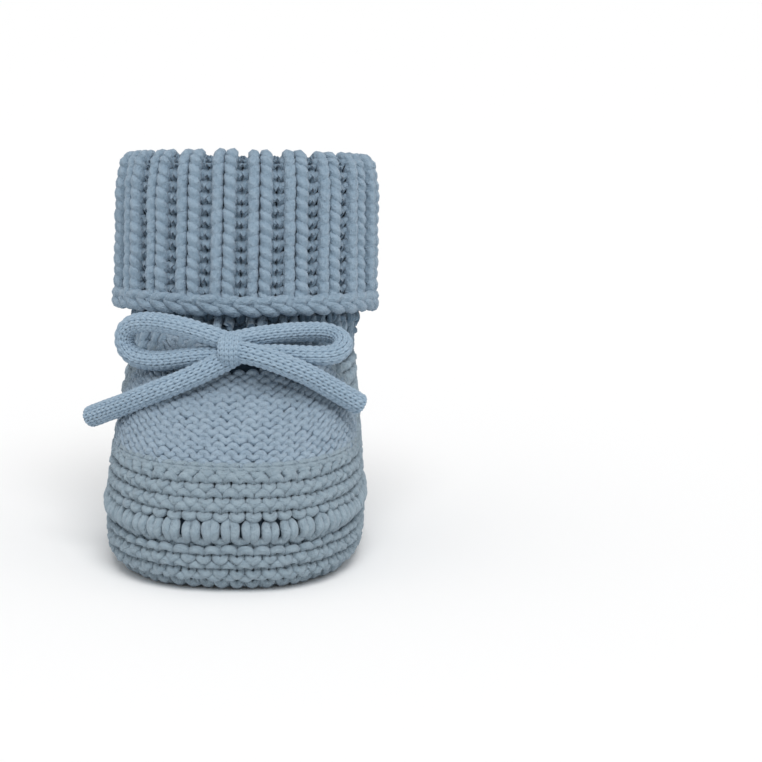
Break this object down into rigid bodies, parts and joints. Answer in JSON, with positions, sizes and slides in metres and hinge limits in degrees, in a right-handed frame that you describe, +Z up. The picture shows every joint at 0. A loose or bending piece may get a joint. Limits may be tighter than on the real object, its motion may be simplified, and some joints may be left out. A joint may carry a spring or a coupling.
{
  "type": "baby bootie",
  "caption": "Hand-knitted baby bootie with a ribbed turn-down cuff that folds up, a knitted foot with a raised welt, and a drawstring tied in a bow at the ankle.",
  "frame": {"origin": "on the ground under the middle of the foot", "axes": "+Z up, toe towards -Y, heel towards +Y, +X to the wearer's left as seen from behind"},
  "size_m": [0.0689, 0.0976, 0.0933],
  "materials": {
    "sole_knit": "soft pale blue wool, garter stitch",
    "welt_knit": "soft pale blue wool, raised welt",
    "foot_knit": "soft pale blue wool, garter stitch",
    "instep_knit": "soft pale blue wool, purl side of plain knit",
    "rib_knit": "soft blue wool, one by one rib",
    "drawstring": "fine knitted tubular cord"
  },
  "bodies": {
    "foot": {"sole": "sole_knit", "sole_band": "sole_knit", "welt": "welt_knit", "foot_wall": "foot_knit", "instep_panel": "instep_knit", "instep_seam": "instep_knit", "ankle_band": "foot_knit", "leg": "rib_knit", "ankle_drawstring": "drawstring", "bow_knot": "drawstring", "left_loop": "drawstring", "right_loop": "drawstring", "left_tail": "drawstring", "right_tail": "drawstring"},
    "cuff_rib_01": {"cuff_rib_01": "rib_knit"},
    "cuff_rib_02": {"cuff_rib_02": "rib_knit"},
    "cuff_rib_03": {"cuff_rib_03": "rib_knit"},
    "cuff_rib_04": {"cuff_rib_04": "rib_knit"},
    "cuff_rib_05": {"cuff_rib_05": "rib_knit"},
    "cuff_rib_06": {"cuff_rib_06": "rib_knit"},
    "cuff_rib_07": {"cuff_rib_07": "rib_knit"},
    "cuff_rib_08": {"cuff_rib_08": "rib_knit"},
    "cuff_rib_09": {"cuff_rib_09": "rib_knit"},
    "cuff_rib_10": {"cuff_rib_10": "rib_knit"},
    "cuff_rib_11": {"cuff_rib_11": "rib_knit"},
    "cuff_rib_12": {"cuff_rib_12": "rib_knit"},
    "cuff_rib_13": {"cuff_rib_13": "rib_knit"},
    "cuff_rib_14": {"cuff_rib_14": "rib_knit"},
    "cuff_rib_15": {"cuff_rib_15": "rib_knit"},
    "cuff_rib_16": {"cuff_rib_16": "rib_knit"},
    "cuff_rib_17": {"cuff_rib_17": "rib_knit"},
    "cuff_rib_18": {"cuff_rib_18": "rib_knit"},
    "cuff_rib_19": {"cuff_rib_19": "rib_knit"},
    "cuff_rib_20": {"cuff_rib_20": "rib_knit"}
  },
  "joints": [
    {"name": "cuff_fold_01", "type": "hinge", "parent": "foot", "child": "cuff_rib_01", "pos_m": [-0.003, -0.00294, 0.09279], "axis": [-0.9959, 0.0889, -0.0157], "range_deg": [0, 180]},
    {"name": "cuff_fold_02", "type": "hinge", "parent": "foot", "child": "cuff_rib_02", "pos_m": [0.00478, -0.00273, 0.09275], "axis": [-0.9896, -0.1419, 0.025], "range_deg": [0, 180]},
    {"name": "cuff_fold_03", "type": "hinge", "parent": "foot", "child": "cuff_rib_03", "pos_m": [0.01228, -0.00072, 0.09239], "axis": [-0.9245, -0.3753, 0.0662], "range_deg": [0, 180]},
    {"name": "cuff_fold_04", "type": "hinge", "parent": "foot", "child": "cuff_rib_04", "pos_m": [0.019, 0.00313, 0.09172], "axis": [-0.7831, -0.6124, 0.108], "range_deg": [0, 180]},
    {"name": "cuff_fold_05", "type": "hinge", "parent": "foot", "child": "cuff_rib_05", "pos_m": [0.02422, 0.00879, 0.09072], "axis": [-0.5342, -0.8325, 0.1468], "range_deg": [0, 180]},
    {"name": "cuff_fold_06", "type": "hinge", "parent": "foot", "child": "cuff_rib_06", "pos_m": [0.027, 0.0159, 0.08946], "axis": [-0.1633, -0.9716, 0.1713], "range_deg": [0, 180]},
    {"name": "cuff_fold_07", "type": "hinge", "parent": "foot", "child": "cuff_rib_07", "pos_m": [0.02662, 0.02352, 0.08812], "axis": [0.2586, -0.9513, 0.1677], "range_deg": [0, 180]},
    {"name": "cuff_fold_08", "type": "hinge", "parent": "foot", "child": "cuff_rib_08", "pos_m": [0.02319, 0.03035, 0.08692], "axis": [0.6032, -0.7855, 0.1385], "range_deg": [0, 180]},
    {"name": "cuff_fold_09", "type": "hinge", "parent": "foot", "child": "cuff_rib_09", "pos_m": [0.01755, 0.0356, 0.08599], "axis": [0.8242, -0.5577, 0.0983], "range_deg": [0, 180]},
    {"name": "cuff_fold_10", "type": "hinge", "parent": "foot", "child": "cuff_rib_10", "pos_m": [0.0106, 0.03902, 0.08539], "axis": [0.9454, -0.321, 0.0566], "range_deg": [0, 180]},
    {"name": "cuff_fold_11", "type": "hinge", "parent": "foot", "child": "cuff_rib_11", "pos_m": [0.00299, 0.04062, 0.08511], "axis": [0.996, -0.0885, 0.0156], "range_deg": [0, 180]},
    {"name": "cuff_fold_12", "type": "hinge", "parent": "foot", "child": "cuff_rib_12", "pos_m": [-0.00478, 0.04041, 0.08514], "axis": [0.9896, 0.1418, -0.025], "range_deg": [0, 180]},
    {"name": "cuff_fold_13", "type": "hinge", "parent": "foot", "child": "cuff_rib_13", "pos_m": [-0.01229, 0.03839, 0.0855], "axis": [0.9244, 0.3756, -0.0662], "range_deg": [0, 180]},
    {"name": "cuff_fold_14", "type": "hinge", "parent": "foot", "child": "cuff_rib_14", "pos_m": [-0.019, 0.03455, 0.08618], "axis": [0.7832, 0.6124, -0.108], "range_deg": [0, 180]},
    {"name": "cuff_fold_15", "type": "hinge", "parent": "foot", "child": "cuff_rib_15", "pos_m": [-0.02422, 0.02889, 0.08717], "axis": [0.5342, 0.8325, -0.1468], "range_deg": [0, 180]},
    {"name": "cuff_fold_16", "type": "hinge", "parent": "foot", "child": "cuff_rib_16", "pos_m": [-0.027, 0.02177, 0.08843], "axis": [0.1634, 0.9716, -0.1713], "range_deg": [0, 180]},
    {"name": "cuff_fold_17", "type": "hinge", "parent": "foot", "child": "cuff_rib_17", "pos_m": [-0.02662, 0.01416, 0.08977], "axis": [-0.2585, 0.9513, -0.1677], "range_deg": [0, 180]},
    {"name": "cuff_fold_18", "type": "hinge", "parent": "foot", "child": "cuff_rib_18", "pos_m": [-0.02319, 0.00733, 0.09098], "axis": [-0.6031, 0.7855, -0.1385], "range_deg": [0, 180]},
    {"name": "cuff_fold_19", "type": "hinge", "parent": "foot", "child": "cuff_rib_19", "pos_m": [-0.01755, 0.00207, 0.0919], "axis": [-0.8241, 0.5578, -0.0984], "range_deg": [0, 180]},
    {"name": "cuff_fold_20", "type": "hinge", "parent": "foot", "child": "cuff_rib_20", "pos_m": [-0.01059, -0.00135, 0.09251], "axis": [-0.9455, 0.3207, -0.0566], "range_deg": [0, 180]}
  ],
  "couplings": [
    {"joint": "cuff_fold_02", "follows": "cuff_fold_01", "ratio": 1},
    {"joint": "cuff_fold_03", "follows": "cuff_fold_01", "ratio": 1},
    {"joint": "cuff_fold_04", "follows": "cuff_fold_01", "ratio": 1},
    {"joint": "cuff_fold_05", "follows": "cuff_fold_01", "ratio": 1},
    {"joint": "cuff_fold_06", "follows": "cuff_fold_01", "ratio": 1},
    {"joint": "cuff_fold_07", "follows": "cuff_fold_01", "ratio": 1},
    {"joint": "cuff_fold_08", "follows": "cuff_fold_01", "ratio": 1},
    {"joint": "cuff_fold_09", "follows": "cuff_fold_01", "ratio": 1},
    {"joint": "cuff_fold_10", "follows": "cuff_fold_01", "ratio": 1},
    {"joint": "cuff_fold_11", "follows": "cuff_fold_01", "ratio": 1},
    {"joint": "cuff_fold_12", "follows": "cuff_fold_01", "ratio": 1},
    {"joint": "cuff_fold_13", "follows": "cuff_fold_01", "ratio": 1},
    {"joint": "cuff_fold_14", "follows": "cuff_fold_01", "ratio": 1},
    {"joint": "cuff_fold_15", "follows": "cuff_fold_01", "ratio": 1},
    {"joint": "cuff_fold_16", "follows": "cuff_fold_01", "ratio": 1},
    {"joint": "cuff_fold_17", "follows": "cuff_fold_01", "ratio": 1},
    {"joint": "cuff_fold_18", "follows": "cuff_fold_01", "ratio": 1},
    {"joint": "cuff_fold_19", "follows": "cuff_fold_01", "ratio": 1},
    {"joint": "cuff_fold_20", "follows": "cuff_fold_01", "ratio": 1}
  ]
}
